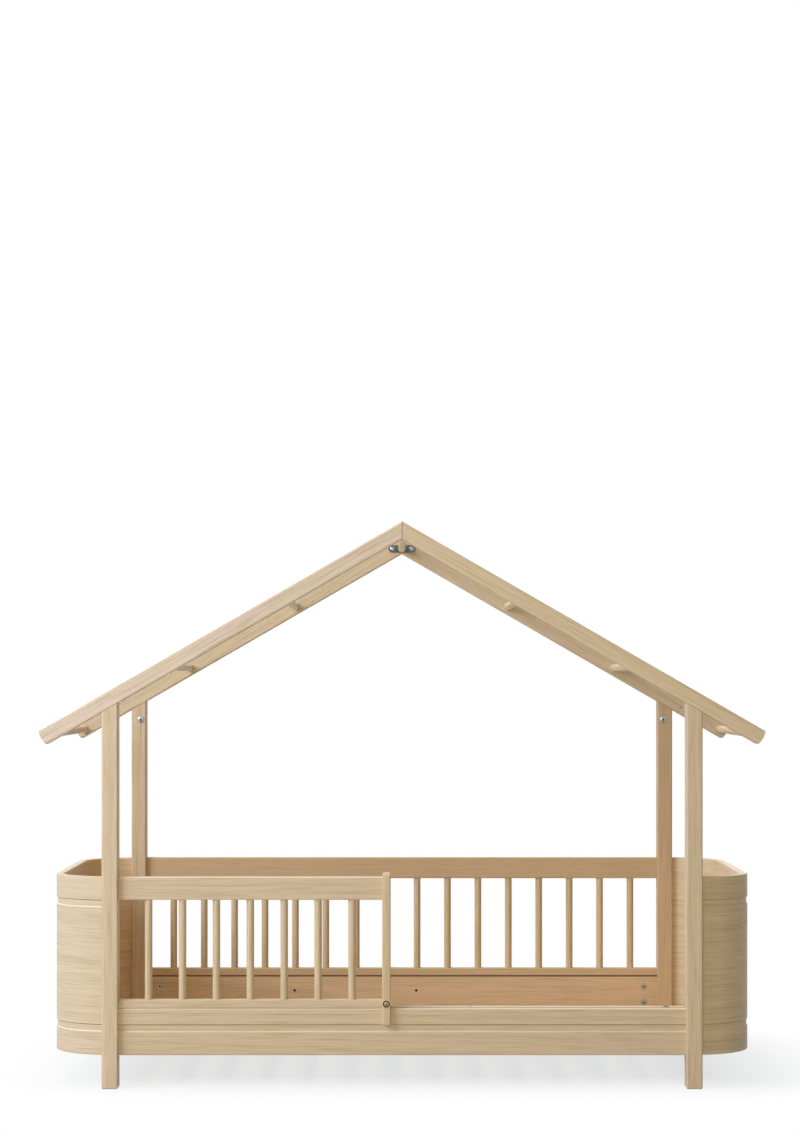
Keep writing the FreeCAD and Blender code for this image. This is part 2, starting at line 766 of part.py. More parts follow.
def clamp_bolt_and_nut():
    """The bolt enters from the front; the flanged nut's sleeve meets it in the rear cheek."""
    nut_seat = stile_depth - clamp_recess_depth
    head_seat = clamp_axis(clamp_recess_depth)
    head = domed_head(head_seat, -along_y, clamp_head, clamp_head_height)
    shank = cylinder(head_seat, along_y, nut_seat - clamp_recess_depth, thread_diameter)
    bolt_socket = hexagon(clamp_axis(clamp_recess_depth - clamp_head_height), along_y, hex_depth)
    bolt = head.fuse(shank).cut(bolt_socket).removeSplitter()
    nut_head = domed_head(clamp_axis(nut_seat), along_y, clamp_head, clamp_head_height)
    sleeve = cylinder(clamp_axis(nut_seat - clamp_sleeve_length), along_y, clamp_sleeve_length, clamp_sleeve)
    thread = cylinder(clamp_axis(nut_seat - clamp_sleeve_length), along_y, clamp_sleeve_length,
                      thread_diameter + 2 * fit_gap)
    nut_socket = hexagon(clamp_axis(nut_seat + clamp_head_height), -along_y, hex_depth)
    nut = nut_head.fuse(sleeve).cut([thread, nut_socket]).removeSplitter()
    return bolt, nut


def guard():
    """The guard's pieces by node name."""
    top_pair = (top_rail_bottom, barrier_top)
    bottom_pair = (board_top + guard_seat_gap, bottom_rail_top)
    top_pin, bottom_pin = guard_pin_heights()
    centres = spindle_centres(-inner_side, stile_side - stile_width, guard_spindle_count)
    sockets = [spindle(x, front, 2 * fit_gap) for x in centres]
    bolt, nut = clamp_bolt_and_nut()
    pieces = {
        "guard_top_rail": drilled(guard_rail(top_pair, top_pin), sockets),
        "guard_bottom_rail": drilled(guard_rail(bottom_pair, bottom_pin), sockets + clamp_holes()),
        "guard_stile": guard_stile([tenon_mortise(top_pair), tenon_mortise(bottom_pair)]),
        "guard_clamp_bolt": bolt,
        "guard_clamp_nut": nut,
    }
    for index, x in enumerate(centres):
        pieces[f"guard_spindle_{index + 1}"] = spindle(x, front, 0)
    return pieces


# ------------------------------------------------------------------ roof
def rafter_middle_height(x):
    """Height of the rafters' middle line."""
    return (underside_height(x) + ridge_height - abs(x) * math.tan(pitch)) / 2


def rod_places():
    """(x, height) of each cross rod; the one at the ridge runs between the ridge plates."""
    steps = range(-rods_per_slope, rods_per_slope + 1)
    return [(step * rod_spacing, ridge_rod_height if step == 0 else rafter_middle_height(step * rod_spacing))
            for step in steps]


def rod(x, height, diameter_gap):
    end_depth = post_depth - rod_socket
    if x == 0:
        end_depth = post_depth + ridge_plate_thickness
    length = bed_width - 2 * end_depth
    return cylinder(Vector(x, y_at(front, end_depth), height), along_y, length, rod_diameter + diameter_gap)


def rafter(x_side, y_side, holes):
    """A rafter: vertical mitre at the ridge, rounded long edges, bowed eave end."""
    down_slope = Vector(math.cos(pitch), 0, -math.sin(pitch))
    inward = Vector(-math.sin(pitch), 0, -math.cos(pitch))
    y_start = y_at(rear, post_depth)
    ridge = Vector(0, y_start, ridge_height)
    ridge_bottom = Vector(0, y_start, ridge_underside)
    eave_top = ridge + down_slope * rafter_length
    eave_bottom = eave_top + inward * rafter_height
    sagitta = eave_bow - math.sqrt(eave_bow ** 2 - rafter_height ** 2 / 4)
    eave_middle = (eave_top + eave_bottom) * 0.5 + down_slope * sagitta
    outline = Part.Wire([
        Part.LineSegment(ridge, eave_top).toShape(),
        Part.Arc(eave_top, eave_middle, eave_bottom).toShape(),
        Part.LineSegment(eave_bottom, ridge_bottom).toShape(),
        Part.LineSegment(ridge_bottom, ridge).toShape(),
    ])
    beam = Part.Face(outline).extrude(Vector(0, post_depth, 0))
    eave_corners = [edge for edge in beam.Edges
                    if edge.CenterOfMass.x > eave_bottom.x - eave_round and edge.BoundBox.XLength < fit_gap]
    beam = beam.makeFillet(eave_round, eave_corners)
    long_start = ridge - down_slope * rafter_height
    corners = [long_start, long_start + Vector(0, post_depth, 0),
               long_start + Vector(0, post_depth, 0) + inward * rafter_height,
               long_start + inward * rafter_height]
    whole_run = down_slope * (rafter_length + 2 * rafter_height)
    beam = beam.common(rounded_face(corners, [edge_round] * 4).extrude(whole_run))
    if x_side == left:
        beam = beam.mirror(Vector(0, 0, 0), along_x)
    if y_side == front:
        beam = beam.mirror(Vector(0, 0, 0), along_y)
    return drilled(beam, holes)


def ridge_plate(y_side, holes):
    """A steel strip with round ends across the ridge joint, on the frame's inner face."""
    half_length = ridge_plate_length / 2
    half_width = ridge_plate_width / 2
    plate = bar((-half_length, half_length),
                (y_at(y_side, post_depth), y_at(y_side, post_depth + ridge_plate_thickness)),
                (ridge_rod_height - half_width, ridge_rod_height + half_width), along_y, half_width)
    return drilled(plate, holes)


# ------------------------------------------------------------------ mattress base
def base_ledgers(holes):
    """Two ledgers along the boards and two cleats on the end shells."""
    z_pair = (board_bottom, board_bottom + ledger_height)
    solids = []
    for side in (front, rear):
        y_pair = (y_at(side, board_inner_face), y_at(side, board_inner_face + ledger_width))
        solids.append(bar((-inner_side, inner_side), y_pair, z_pair, along_x, base_round))
    for side in (left, right):
        wall = end_to_end / 2 - shell_thickness
        solids.append(bar((side * wall, side * (wall - cleat_width)), (-cleat_length / 2, cleat_length / 2),
                          z_pair, along_y, base_round))
    return [drilled(solid, holes) for solid in solids]


def slat_heights():
    low = board_bottom + ledger_height
    return (low, low + slat_thickness)


def bed_slats(holes):
    reach = bed_width / 2 - board_inner_face - slat_end_gap
    solids = []
    for x in slat_centres():
        edges = (x - slat_width / 2, x + slat_width / 2)
        slat = bar(edges, (-reach, reach), slat_heights(), along_y, base_round)
        solids.append(drilled(slat, holes))
    return solids


def base_end_boards(holes):
    """Two boards that carry the mattress's ends; their far corners follow the shells' inner corners."""
    near = inner_side - end_board_lap
    far = end_to_end / 2 - shell_thickness - end_board_gap
    half_width = end_board_half_width()
    corner = shell_corner - shell_thickness
    low, high = slat_heights()
    solids = []
    for side in (left, right):
        points = [Vector(side * near, -half_width, low), Vector(side * far, -half_width, low),
                  Vector(side * far, half_width, low), Vector(side * near, half_width, low)]
        board = rounded_face(points, [base_round, corner, corner, base_round]).extrude(up * (high - low))
        solids.append(drilled(board, holes))
    return solids


# ------------------------------------------------------------------ all pieces
def all_pieces():
    """Every node's solids by node name."""
    dowel_bores = dowel_holes()
    cam_bores = cam_holes()
    insert_bores = insert_holes()
    screw_bores = screw_holes()
    bolt_bores = roof_bolt_holes()
    rods = rod_places()
    rod_sockets = [rod(x, height, 2 * fit_gap) for x, height in rods]
    post_holes = dowel_bores + cam_bores + tongue_mortises() + bolt_bores
    rafter_holes = rod_sockets + tongue_mortises() + screw_bores
    pieces = {}
    for y_side, y_name in ((front, "front"), (rear, "rear")):
        for x_side, x_name in ((left, "left"), (right, "right")):
            pieces[f"post_{y_name}_{x_name}"] = post(x_side, y_side, post_holes)
            pieces[f"rafter_{y_name}_{x_name}"] = rafter(x_side, y_side, rafter_holes)
    pieces["end_shell_left"] = end_shell(left, dowel_bores)
    pieces["end_shell_right"] = end_shell(right, dowel_bores)
    pieces["front_rail"] = low_board(front, dowel_bores + cam_bores)
    pieces["front_inner_rail"] = front_inner_rail(dowel_bores + insert_bores)
    pieces["rear_board"] = rear_board(dowel_bores + cam_bores)
    pieces.update(rear_barrier(dowel_bores))
    pieces.update(guard())
    for index, (x, height) in enumerate(rods):
        pieces[f"roof_rod_{index + 1}"] = drilled(rod(x, height, 0), screw_bores)
    pieces["ridge_plates"] = [ridge_plate(side, screw_bores) for side in (front, rear)]
    pieces["roof_tongues"] = roof_tongues(insert_bores + bolt_bores)
    pieces["roof_bolts"] = roof_bolts()
    pieces["threaded_inserts"] = threaded_inserts()
    pieces["cam_locks"] = cam_locks()
    pieces["cam_bolts"] = cam_bolts()
    pieces["dowels"] = dowels()
    pieces["wood_screws"] = wood_screws()
    pieces["base_ledgers"] = base_ledgers(dowel_bores + screw_bores)
    pieces["slatted_base"] = bed_slats(screw_bores) + base_end_boards(screw_bores)
    return pieces


os.makedirs("parts", exist_ok=True)
for name, piece in all_pieces().items():
    shape = Part.makeCompound(piece) if isinstance(piece, list) else piece
    shape.exportStep(f"parts/{name}.step")
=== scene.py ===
import json
import math
import random
from collections import namedtuple

import bpy
from mathutils import Matrix, Vector


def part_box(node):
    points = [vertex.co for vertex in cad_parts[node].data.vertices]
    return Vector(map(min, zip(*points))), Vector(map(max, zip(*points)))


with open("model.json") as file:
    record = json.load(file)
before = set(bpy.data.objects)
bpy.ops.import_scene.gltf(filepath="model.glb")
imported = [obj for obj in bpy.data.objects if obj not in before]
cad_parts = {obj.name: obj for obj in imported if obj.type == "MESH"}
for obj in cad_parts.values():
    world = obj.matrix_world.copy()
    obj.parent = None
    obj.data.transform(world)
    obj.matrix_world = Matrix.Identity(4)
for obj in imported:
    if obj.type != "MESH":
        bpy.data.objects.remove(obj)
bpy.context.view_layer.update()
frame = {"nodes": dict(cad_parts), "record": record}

# Finishes, floor, light and camera for the house frame bed.  Metres: X runs along the bed, Y from its open
# front to its rear, and Z up from the floor.  Colours are linear.


# ------------------------------------------------------------------ sizes and places, from the frame
def middle(node):
    """The middle of a node's box."""
    low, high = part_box(node)
    return (low + high) / 2


mounts = {mount["name"]: Vector(mount["pos_m"]) for mount in frame["record"]["mounts"]}
rail_low, rail_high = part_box("front_rail")
board_low, board_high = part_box("rear_board")
guard_rail_low, guard_rail_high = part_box("guard_top_rail")
post_middle = middle("post_rear_right")

roof_pitch = math.radians(30)
front_face = rail_low.y         # of the front rail and the guard
front_joint = rail_high.y       # where the front rail and the inner rail meet
rail_top = rail_high.z
rear_joint = board_low.y        # inner face of the rear board and of the rail on it
guard_top = guard_rail_high.z
inner_rail_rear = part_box("front_inner_rail")[1].y
post_inner_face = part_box("post_rear_right")[0].y
stile_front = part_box("guard_stile")[0].y

shell_corner = 0.150
shell_thickness = 0.018
half_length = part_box("end_shell_right")[1].x            # outer face of an end wall
half_width = post_middle.y + shell_thickness / 2        # outer face of the walls that run to the posts
ply_count = 9

groove_width = 0.0175
groove_rise = 0.056             # from the boards' underside to the lower groove
groove_low = rail_low.z + groove_rise
groove_high = groove_low + groove_width
upper_groove_low = guard_rail_low.z - groove_width

clamp_x = middle("guard_stile").x
clamp_z = middle("guard_clamp_bolt").z
cam_setback = 0.0355            # from a cam's middle to the post
cam_rises = (0.041, 0.083)      # above the rear board's underside
roof_bolt_inset = 0.005         # from the posts' middles towards the bed's
roof_bolt_head = 0.004          # height of its dome
roof_bolt_z = middle("roof_bolts").z
board_hole_depth = 0.013        # from the board's inner face to the middle of a hole's shadow
insert_bore_depth = 0.0105      # from the rail's top to the middle of a bore's shadow

# ------------------------------------------------------------------ colours
white_oak = (0.735, 0.585, 0.425)
veneer_oak = (0.77, 0.63, 0.475)
oak_dark = (0.46, 0.325, 0.180)
birch_pale = (0.76, 0.62, 0.42)
beech_tan = (0.60, 0.42, 0.27)
beech_dark = (0.42, 0.27, 0.16)
ply_pale = (0.80, 0.68, 0.50)
ply_brown = (0.56, 0.42, 0.27)
pink_cast = (1.025, 0.99, 1.01)
olive_cast = (0.97, 0.985, 0.905)
no_tint = (1.0, 1.0, 1.0)
pure_white = (1.0, 1.0, 1.0)
deep_shadow = (0.012, 0.008, 0.006)
# dark brown for a dark joint at the ridge and for painted shade in seams, recesses, round bolt heads and
# below groove edges
seam_and_shade_brown = (0.16, 0.10, 0.05)
# dark brown for a knot and for painted shade in the outer inserts' holes
knot_and_hole_shade_brown = (0.20, 0.11, 0.06)
# pale for painted highlights on rounded edges and groove edges
highlight_pale = (0.93, 0.81, 0.65)
# near black for painted shade in sockets, cross slots, bores and hole mouths
recess_shade_grey = (0.035, 0.04, 0.04)

# ------------------------------------------------------------------ marks that are colour, not shape: painted shade, painted highlights, a dark joint and a knot
# A mark is an ellipsoid of colour, most of them painted shade and painted highlights: its middle, its half
# sizes along X, Y and Z, its colour and strength.
Mark = namedtuple("Mark", "centre halves stain strength")

whole = 9.0                     # half size of a mark that runs the whole length of its piece
mark_fade = (0.80, 1.10)        # where a mark starts to fade and is gone, as a share of its half sizes
strip_highlight_inset = 0.004        # from the inner rail's rear edge to the middle of the painted highlight strip on its top
highlight_rise = 0.0004              # of the painted highlight line above the groove's lower edge
shade_drop = 0.0010             # of the shaded line below its upper edge
ridge_joint_height = 1.3
knot_x = 0.7366
knot_height = 0.901
# painted shade in the joint between the front rail and the inner rail
rail_seam_shade = Mark((0.0, front_joint, rail_top), (whole, 0.0048, 0.0040), seam_and_shade_brown, 0.85)
# painted highlight on the front rail's rounded top front edge
rail_edge_highlight = Mark((0.0, front_face, rail_top), (whole, 0.0050, 0.0026), highlight_pale, 0.60)
# painted highlight strip on the inner rail's top, near its rear edge
strip_highlight_place = (0.0, inner_rail_rear - strip_highlight_inset, rail_top)
inner_rail_highlight = Mark(strip_highlight_place, (whole, 0.0240, 0.0020), highlight_pale, 0.55)
# painted shade in the joint between the rear bottom rail and the rear board
board_seam_shade = Mark((0.0, rear_joint, rail_top), (whole, 0.0060, 0.0026), seam_and_shade_brown, 0.80)
# painted highlight on the guard's rounded top front edge
guard_edge_highlight = Mark((0.0, front_face, guard_top), (whole, 0.0060, 0.0028), highlight_pale, 0.55)
# painted highlight on the lower edge of the front rail's groove
groove_highlight_place = (0.0, front_face, groove_low + highlight_rise)
groove_edge_highlight = Mark(groove_highlight_place, (whole, 0.0050, 0.0019), highlight_pale, 0.60)
shaded_groove = (0.0, front_face, groove_high - shade_drop)
# painted shade below the upper edge of the front rail's groove
groove_shade = Mark(shaded_groove, (whole, 0.0050, 0.0016), seam_and_shade_brown, 0.40)
ridge_joint = Mark((0.0, 0.0, ridge_joint_height), (0.0010, whole, whole), seam_and_shade_brown, 0.85)
knot_place = (knot_x, post_inner_face, knot_height)
rafter_knot = Mark(knot_place, (0.0028, 0.010, 0.0022), knot_and_hole_shade_brown, 0.85)
# painted shade in the clamp bolt's counterbore and in its hex socket
clamp_recess_shade = Mark((clamp_x, 0.0, clamp_z), (0.0087, whole, 0.0087), seam_and_shade_brown, 0.85)
clamp_socket_shade = Mark((clamp_x, stile_front, clamp_z), (0.0028, 0.0080, 0.0028), recess_shade_grey, 0.9)
marks_of = {
    "guard_top_rail": [guard_edge_highlight],
    "guard_bottom_rail": [clamp_recess_shade],
    "guard_stile": [clamp_recess_shade],
    "guard_clamp_bolt": [clamp_socket_shade],
    "rafter_front_left": [ridge_joint],
    "rafter_front_right": [ridge_joint],
    "rafter_rear_left": [ridge_joint],
    "rafter_rear_right": [ridge_joint, rafter_knot],
    "front_rail": [rail_seam_shade, rail_edge_highlight, groove_edge_highlight, groove_shade],
    "front_inner_rail": [inner_rail_highlight, rail_seam_shade],
    "rear_bottom_rail": [board_seam_shade],
    "rear_board": [board_seam_shade],
}
# marks that come more than once, all painted shade in holes, bores, sockets, cross slots and round heads:
# half sizes, colour, strength
board_hole = ((0.0046, 0.0140, 0.0046), deep_shadow, 1.0)
inner_insert_shade = ((0.0074, 0.0086, 0.012), recess_shade_grey, 0.9)
outer_insert_shade = ((0.0088, 0.0110, 0.012), knot_and_hole_shade_brown, 1.0)
insert_bore_shade = ((0.0034, 0.0034, 0.03), recess_shade_grey, 0.95)
roof_bolt_shadow_ring = ((0.0098, 0.0050, 0.0098), seam_and_shade_brown, 0.55)
roof_bolt_socket_shade = ((0.0034, 0.012, 0.0034), recess_shade_grey, 0.95)
cam_edge_shadow = ((0.0086, 0.004, 0.0086), deep_shadow, 0.7)
cam_level_slot_shade = ((0.0056, 0.010, 0.0012), recess_shade_grey, 0.95)
cam_upright_slot_shade = ((0.0012, 0.010, 0.0056), recess_shade_grey, 0.95)


def add_mark(node, centre, kind):
    marks_of.setdefault(node, []).append(Mark(centre, *kind))


def mark_holes():
    """Painted shade in the open holes in the rear board, and in the inserts' mouths and bores in the inner
    rail.
    """
    for name, place in mounts.items():
        if name.startswith("board_hole"):
            add_mark("rear_board", (place.x, rear_joint + board_hole_depth, place.z), board_hole)
        if name.startswith("rail_insert"):
            mouth = inner_insert_shade if "inner" in name else outer_insert_shade
            add_mark("front_inner_rail", (place.x, place.y, rail_top), mouth)
            add_mark("threaded_inserts", (place.x, place.y, rail_top - insert_bore_depth), insert_bore_shade)


def mark_metal_parts(side, side_name):
    """Painted shade at one end: in each roof bolt's socket and in a ring round its head, and round each cam
    and in its cross.
    """
    bolt_x = side * (post_middle.x - roof_bolt_inset)
    for row, y_side in (("front", -1), ("rear", 1)):
        post_face = (bolt_x, y_side * post_inner_face, roof_bolt_z)
        head_face = (bolt_x, y_side * (post_inner_face - roof_bolt_head), roof_bolt_z)
        add_mark(f"post_{row}_{side_name}", post_face, roof_bolt_shadow_ring)
        add_mark("roof_bolts", head_face, roof_bolt_socket_shade)
    for rise in cam_rises:
        cam = (side * (board_high.x - cam_setback), rear_joint, board_low.z + rise)
        add_mark("rear_board", cam, cam_edge_shadow)
        add_mark("cam_locks", cam, cam_level_slot_shade)
        add_mark("cam_locks", cam, cam_upright_slot_shade)


mark_holes()
mark_metal_parts(-1, "left")
mark_metal_parts(1, "right")


# ------------------------------------------------------------------ a small helper for shader nodes
class Nodes:
    """The node tree of a material or the world, with short calls for the nodes that are used here."""

    def __init__(self, owner, output="ShaderNodeOutputMaterial"):
        owner.use_nodes = True
        self.owner = owner
        self.tree = owner.node_tree
        self.tree.nodes.clear()
        self.output = self.add(output)

    def add(self, kind, **settings):
        node = self.tree.nodes.new(kind)
        for key, value in settings.items():
            setattr(node, key, value)
        return node

    def feed(self, socket, value):
        """Link a socket or set its value; a colour without its fourth part gets it."""
        if isinstance(value, bpy.types.NodeSocket):
            self.tree.links.new(value, socket)
        elif value is not None:
            if isinstance(value, tuple) and len(value) == 3 and len(socket.default_value) == 4:
                value = value + (1.0,)
            socket.default_value = value

    def feed_all(self, node, values):
        for socket, value in zip(node.inputs, values):
            self.feed(socket, value)

    def math(self, operation, first, second=None, third=None, clamp=False):
        node = self.add("ShaderNodeMath", operation=operation, use_clamp=clamp)
        self.feed_all(node, (first, second, third))
        return node.outputs[0]

    def vector(self, operation, first, second=None):
        node = self.add("ShaderNodeVectorMath", operation=operation)
        self.feed_all(node, (first, second))
        return node.outputs["Value" if operation == "LENGTH" else "Vector"]

    def place(self):
        """Where a point lies in the bed's own frame."""
        return self.add("ShaderNodeTexCoord").outputs["Object"]

    def mapped(self, vector, angles, shift):
        node = self.add("ShaderNodeMapping", vector_type="POINT")
        self.feed(node.inputs["Vector"], vector)
        self.feed(node.inputs["Rotation"], angles)
        self.feed(node.inputs["Location"], shift)
        return node.outputs["Vector"]

    def split(self, vector):
        node = self.add("ShaderNodeSeparateXYZ")
        self.feed(node.inputs[0], vector)
        return node.outputs

    def join(self, x, y, z):
        node = self.add("ShaderNodeCombineXYZ")
        self.feed_all(node, (x, y, z))
        return node.outputs[0]

    def noise(self, vector, waves, detail=2.0):
        """Noise in space; waves is how many there are per metre, one number or one for each axis."""
        if isinstance(waves, tuple):
            vector = self.vector("MULTIPLY", vector, waves)
            waves = 1.0
        node = self.add("ShaderNodeTexNoise")
        self.feed(node.inputs["Vector"], vector)
        self.feed(node.inputs["Scale"], waves)
        self.feed(node.inputs["Detail"], detail)
        return node.outputs["Fac"]

    def line_noise(self, distance, waves, detail=2.0):
        """Noise that changes only with a distance."""
        node = self.add("ShaderNodeTexNoise", noise_dimensions="1D")
        self.feed(node.inputs["W"], distance)
        self.feed(node.inputs["Scale"], waves)
        self.feed(node.inputs["Detail"], detail)
        return node.outputs["Fac"]

    def spread(self, value, low, high, start=0.0, end=1.0):
        """The value laid out so that low gives start and high gives end, and held there beyond."""
        node = self.add("ShaderNodeMapRange")
        self.feed_all(node, (value, low, high, start, end))
        return node.outputs["Result"]

    def total(self, layers):
        """The layers added up, each times its share, and held at 1."""
        level = 0.0
        for layer, share in layers:
            level = self.math("MULTIPLY_ADD", layer, share, level, clamp=True)
        return level

    def mix(self, factor, first, second, blend="MIX"):
        node = self.add("ShaderNodeMix", data_type="RGBA", blend_type=blend)
        self.feed(node.inputs[0], factor)
        self.feed(node.inputs[6], first)
        self.feed(node.inputs[7], second)
        return node.outputs[2]

    def with_marks(self, colour, coordinates, marks):
        """The colour with each mark laid over it."""
        for mark in marks:
            offset = self.vector("SUBTRACT", coordinates, mark.centre)
            reach = self.vector("LENGTH", self.vector("DIVIDE", offset, mark.halves))
            colour = self.mix(self.spread(reach, *mark_fade, mark.strength, 0.0), colour, mark.stain)
        return colour

    def bump(self, height, strength, distance):
        node = self.add("ShaderNodeBump")
        self.feed(node.inputs["Strength"], strength)
        self.feed(node.inputs["Distance"], distance)
        self.feed(node.inputs["Height"], height)
        return node.outputs["Normal"]

    def principled(self, colour, roughness, normal, metallic=0.0, specular=0.5):
        node = self.add("ShaderNodeBsdfPrincipled")
        self.feed(node.inputs["Base Color"], colour)
        self.feed(node.inputs["Roughness"], roughness)
        self.feed(node.inputs["Normal"], normal)
        self.feed(node.inputs["Metallic"], metallic)
        self.feed(node.inputs["Specular IOR Level"], specular)
        self.cover(node.outputs[0])

    def shader(self, kind, colour):
        node = self.add(kind)
        self.feed(node.inputs["Color"], colour)
        return node.outputs[0]

    def sum_of(self, first, second):
        node = self.add("ShaderNodeAddShader")
        self.feed_all(node, (first, second))
        return node.outputs[0]

    def blend_of(self, factor, first, second):
        node = self.add("ShaderNodeMixShader")
        self.feed_all(node, (factor, first, second))
        return node.outputs[0]

    def seen_directly(self):
        """1 for what the camera sees, directly or in a gloss, and 0 for light on its way elsewhere."""
        path = self.add("ShaderNodeLightPath")
        return self.math("MAXIMUM", path.outputs["Is Camera Ray"], path.outputs["Is Glossy Ray"])

    def cover(self, shader):
        self.feed(self.output.inputs["Surface"], shader)


def times(first, second):
    """Two colours multiplied part by part."""
    return tuple(a * b for a, b in zip(first, second))


# ------------------------------------------------------------------ grain, of sawn wood and of veneer
# A layer is noise: its waves per metre, its detail, the levels where it starts to show and shows fully, and
# how much it darkens.
Layer = namedtuple("Layer", "waves detail low high share")
Grain = namedtuple("Grain", "wander_waves wander_depth rings streaks fibre pores roughness bump specular")

# sawn wood's waves are along the grain, then across it both ways
sawn = Grain(
    wander_waves=(3.0, 16.0, 16.0),
    wander_depth=0.009,
    rings=(Layer(110.0, 4.0, 0.35, 0.66, 0.17), Layer(430.0, 2.0, 0.35, 0.65, 0.15)),
    streaks=(
        Layer((9.0, 400.0, 400.0), 2.0, 0.50, 0.70, 0.42),
        Layer((26.0, 620.0, 620.0), 2.0, 0.56, 0.70, 0.16),
    ),
    fibre=Layer((9.0, 900.0, 900.0), 2.0, 0.35, 0.70, 0.10),
    pores=Layer((110.0, 1900.0, 1900.0), 1.0, 0.60, 0.70, 0.14),
    roughness=(0.48, 0.60),
    bump=(0.35, 0.00025),
    specular=0.35,
)
# veneer's waves are along the wall both ways, then upwards
moulded = Grain(
    wander_waves=(3.0, 3.0, 9.0),
    wander_depth=0.006,
    rings=(Layer(40.0, 4.0, 0.36, 0.66, 0.19), Layer(260.0, 3.0, 0.35, 0.65, 0.09)),
    streaks=(Layer((10.0, 10.0, 400.0), 2.0, 0.48, 0.70, 0.34),),
    fibre=Layer((9.0, 9.0, 820.0), 2.0, 0.35, 0.70, 0.12),
    pores=Layer((95.0, 95.0, 2100.0), 1.0, 0.59, 0.69, 0.14),
    roughness=(0.42, 0.54),
    bump=(0.3, 0.0002),
    specular=0.45,
)
fibre_levels = (0.3, 0.7)       # the noise levels over which the roughness changes
pore_depth = 0.8                # as a share of the fibres' relief


def grained(tones, kind, place, distance, figure=1.0):
    """How much the grain darkens each point; figure is the strength of its rings and streaks.

    The rings follow the distance, wandering a little.  The surface's roughness and normal come with it.
    """
    wander = tones.noise(place, kind.wander_waves)
    ring_place = tones.math("MULTIPLY_ADD", wander, kind.wander_depth, distance)
    levels = [(tones.line_noise(ring_place, ring.waves, ring.detail), ring) for ring in kind.rings]
    levels += [(tones.noise(place, streak.waves, streak.detail), streak) for streak in kind.streaks]
    layers = [(tones.spread(level, layer.low, layer.high), layer.share * figure) for level, layer in levels]
    fibre = tones.noise(place, kind.fibre.waves, kind.fibre.detail)
    layers.append((tones.spread(fibre, kind.fibre.low, kind.fibre.high), kind.fibre.share))
    pores = tones.noise(place, kind.pores.waves, kind.pores.detail)
    pores = tones.spread(pores, kind.pores.low, kind.pores.high)
    layers.append((pores, kind.pores.share))
    relief = tones.math("MULTIPLY_ADD", pores, -pore_depth, fibre)
    roughness = tones.spread(fibre, *fibre_levels, *kind.roughness)
    return tones.total(layers), roughness, tones.bump(relief, *kind.bump)


# ------------------------------------------------------------------ sawn wood
Timber = namedtuple("Timber", "name base dark figure pith")

oak = Timber("oak", white_oak, oak_dark, 1.0, 0.09)
birch = Timber("birch", birch_pale, oak_dark, 0.6, 0.10)
beech = Timber("beech", beech_tan, beech_dark, 0.5, 0.10)
round_stick_pith = 0.25         # how far the pith lies from a piece's middle, before a random share
pith_share = (0.7, 1.6)
timber_of = {"slatted_base": birch, "base_ledgers": birch, "dowels": beech, "roof_tongues": beech}
# tints of painted light and shade, piece by piece: darker and warmer for the shaded rear pieces and rear
# right post, paler and cooler for the left front rafter that faces the key lamp, paler for the roof rods in
# the rafters' shade
piece_light_tints = (                 # the first start of a name that fits a node gives its tint
    ("rear_spindle", (1.0, 0.97, 0.92)),
    ("rear_board", (1.05, 0.92, 0.825)),
    ("rear_", (0.93, 0.81, 0.705)),
    ("post_rear_right", (0.90, 0.78, 0.72)),
    ("post_rear_left", (1.0, 0.96, 0.98)),
    ("post_front_right", (0.98, 0.98, 0.97)),
    ("post_front_left", (1.025, 1.02, 1.045)),
    ("rafter_front_left", (1.12, 1.155, 1.34)),
    ("rafter_front_right", (1.07, 1.08, 1.06)),
    ("rafter_rear_right", (1.0, 1.0, 1.02)),
    ("guard_stile", (1.0, 0.95, 0.94)),
    ("roof_rod_4", (1.17, 1.19, 1.05)),
    ("roof_rod", (1.10, 1.11, 1.07)),
)
grain_turns = {                 # about X, Y and Z, to bring a piece's grain onto X
    "x": (0.0, 0.0, 0.0),
    "y": (0.0, 0.0, -math.pi / 2),
    "z": (0.0, math.pi / 2, 0.0),
    "rise": (0.0, roof_pitch, 0.0),
    "fall": (0.0, -roof_pitch, 0.0),
}
forward_most = 40               # metres by which a piece's grain may be shifted along itself
lean_most = 0.018               # slope of the grain against its piece's length
tone_range = (0.97, 1.03)
cloud_waves = (5.0, 40.0, 40.0)
cloud_levels = (0.34, 0.66)


def grain_of(node):
    if node.startswith("rafter"):
        return "rise" if node.endswith("left") else "fall"
    if node.startswith(("post", "rear_spindle", "guard_spindle", "guard_stile", "roof_tongues")):
        return "z"
    if node.startswith(("roof_rod", "slatted_base")):
        return "y"
    return "x"


def turned(vector, angles):
    """The vector as the Mapping node turns it, about Y, then Z."""
    turn = Matrix.Rotation(angles[2], 3, "Z") @ Matrix.Rotation(angles[1], 3, "Y")
    return turn @ vector


